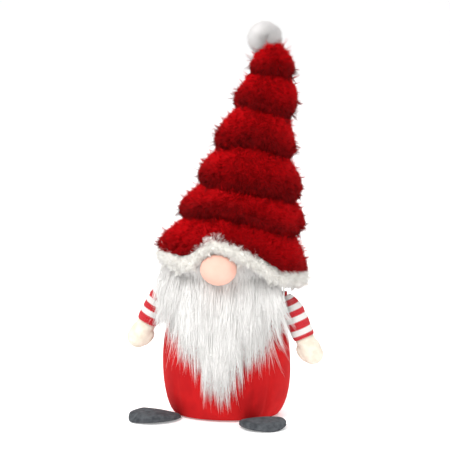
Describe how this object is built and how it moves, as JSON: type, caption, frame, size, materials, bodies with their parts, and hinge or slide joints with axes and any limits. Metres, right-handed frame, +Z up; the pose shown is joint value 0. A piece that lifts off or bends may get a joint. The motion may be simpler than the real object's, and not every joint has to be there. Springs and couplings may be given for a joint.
{
  "type": "tomte gnome figurine",
  "caption": "Stuffed gnome with a weighted body, ball nose, long beard, knitted arms, flat feet and a tall bending plush hat with a furry brim and pompom.",
  "frame": {"origin": "middle of the flat base, on the surface the gnome stands on", "axes": "+Z up, -Y the way the gnome looks, +X its own left"},
  "size_m": [0.2356, 0.181, 0.476],
  "materials": {
    "body_velour": "short velour, matt",
    "base_felt": "matt",
    "card": "grey board, matt",
    "pouch_cloth": "woven, matt",
    "pellets": "matt",
    "stuffing": "fibre, matt",
    "nose_cloth": "smooth stretch cloth, matt",
    "beard_felt": "matt",
    "beard_fibre": "long straight pile, slight sheen",
    "sleeve_knit": "plain knit in red and white bands, matt",
    "hand_felt": "matt",
    "foot_felt": "matt",
    "hat_plush": "long plush pile, slight sheen",
    "brim_plush": "short plush pile, matt",
    "wire": "bare wire",
    "pompom_yarn": "soft pile, matt",
    "thread": "twisted thread, matt"
  },
  "bodies": {
    "body": {"body_panel_front": "body_velour", "body_panel_back": "body_velour", "base_panel": "base_felt", "base_card": "card", "ballast_pouch": "pouch_cloth", "ballast_pellets": "pellets", "body_filling": "stuffing", "nose_cover": "nose_cloth", "nose_filling": "stuffing", "nose_gathers": "nose_cloth", "beard_backing": "beard_felt", "beard_pile": "beard_fibre", "hat_skirt": "hat_plush", "hat_brim": "brim_plush", "hat_base_filling": "stuffing", "hat_base_wire": "wire"},
    "hat_middle": {"hat_middle_cover": "hat_plush", "hat_middle_filling": "stuffing", "hat_middle_wire": "wire"},
    "hat_upper": {"hat_upper_cover": "hat_plush", "hat_upper_filling": "stuffing", "hat_upper_wire": "wire"},
    "hat_tip": {"hat_tip_cover": "hat_plush", "hat_tip_filling": "stuffing", "pompom": "pompom_yarn", "pompom_core": "pompom_yarn", "pompom_tie": "thread"},
    "right_shoulder": {"right_shoulder_tab": "sleeve_knit"},
    "left_shoulder": {"left_shoulder_tab": "sleeve_knit"},
    "right_arm": {"right_sleeve": "sleeve_knit", "right_sleeve_filling": "stuffing", "right_hand": "hand_felt", "right_hand_filling": "stuffing"},
    "left_arm": {"left_sleeve": "sleeve_knit", "left_sleeve_filling": "stuffing", "left_hand": "hand_felt", "left_hand_filling": "stuffing"},
    "right_foot": {"right_foot_sole": "foot_felt", "right_foot_upper": "foot_felt", "right_foot_filling": "stuffing"},
    "left_foot": {"left_foot_sole": "foot_felt", "left_foot_upper": "foot_felt", "left_foot_filling": "stuffing"}
  },
  "joints": [
    {"name": "hat_nod", "type": "hinge", "parent": "body", "child": "hat_middle", "pos_m": [0.016, 0, 0.231], "axis": [1, 0, 0], "range_deg": [-12, 12]},
    {"name": "hat_lean", "type": "hinge", "parent": "hat_middle", "child": "hat_upper", "pos_m": [0.03298, 0, 0.32], "axis": [0, 1, 0], "range_deg": [-12, 12]},
    {"name": "tip_flop", "type": "hinge", "parent": "hat_upper", "child": "hat_tip", "pos_m": [0.05491, 0, 0.41654], "axis": [0, 1, 0], "range_deg": [-12, 12]},
    {"name": "right_arm_swing", "type": "hinge", "parent": "body", "child": "right_shoulder", "pos_m": [0.075, -0.022, 0.152], "axis": [-1, 0, 0], "range_deg": [-20, 40]},
    {"name": "right_arm_lift", "type": "hinge", "parent": "right_shoulder", "child": "right_arm", "pos_m": [0.075, -0.022, 0.152], "axis": [0, -1, 0], "range_deg": [-1, 10]},
    {"name": "left_arm_swing", "type": "hinge", "parent": "body", "child": "left_shoulder", "pos_m": [-0.0672, -0.022, 0.164], "axis": [-1, 0, 0], "range_deg": [-20, 40]},
    {"name": "left_arm_lift", "type": "hinge", "parent": "left_shoulder", "child": "left_arm", "pos_m": [-0.0672, -0.022, 0.164], "axis": [0, 1, 0], "range_deg": [-1, 20]},
    {"name": "right_foot_flap", "type": "hinge", "parent": "body", "child": "right_foot", "pos_m": [0.03334, -0.04761, 0.0035], "axis": [-0.8191, -0.5736, 0], "range_deg": [-20, 15]},
    {"name": "left_foot_flap", "type": "hinge", "parent": "body", "child": "left_foot", "pos_m": [-0.05071, -0.03421, 0.0035], "axis": [-0.5592, 0.829, 0], "range_deg": [-20, 15]}
  ]
}
